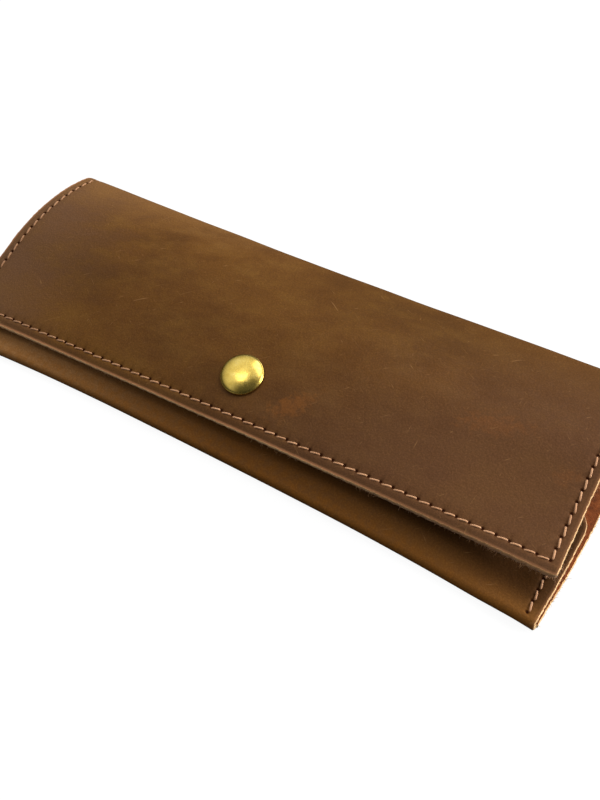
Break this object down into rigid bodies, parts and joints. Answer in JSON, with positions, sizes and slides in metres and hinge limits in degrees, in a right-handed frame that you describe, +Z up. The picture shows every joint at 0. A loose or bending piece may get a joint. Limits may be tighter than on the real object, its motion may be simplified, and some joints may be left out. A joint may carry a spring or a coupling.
{
  "type": "soft pouch glasses case",
  "caption": "Slim soft leather pouch for folded spectacles, with stitched side seams, a fold-over flap with a stitched border and a domed brass snap.",
  "frame": {"origin": "on the flat underside of the back panel, half way along the case, 35 mm in front of the back fold", "axes": "+X along the case, +Y from the snap towards the back fold, +Z up from the table"},
  "size_m": [0.1974, 0.0793, 0.0213],
  "materials": {
    "leather": "matte-satin oiled pull-up leather with raw cut edges",
    "thread": "twisted waxed sewing thread",
    "brass": "polished antique brass with fine scratches"
  },
  "bodies": {
    "pouch": {"pouch_hide": "leather", "left_seam_needle_thread": "thread", "left_seam_bobbin_thread": "thread", "right_seam_needle_thread": "thread", "right_seam_bobbin_thread": "thread", "snap_stud": "brass", "snap_post": "brass"},
    "flap": {"flap_hide": "leather", "flap_border_needle_thread": "thread", "flap_border_bobbin_thread": "thread", "snap_cap": "brass", "snap_socket": "brass", "snap_spring": "brass"}
  },
  "joints": [
    {"name": "flap_fold", "type": "hinge", "parent": "pouch", "child": "flap", "pos_m": [0, 0.0376, 0.0082], "axis": [-1, 0, 0], "range_deg": [0, 160]}
  ]
}
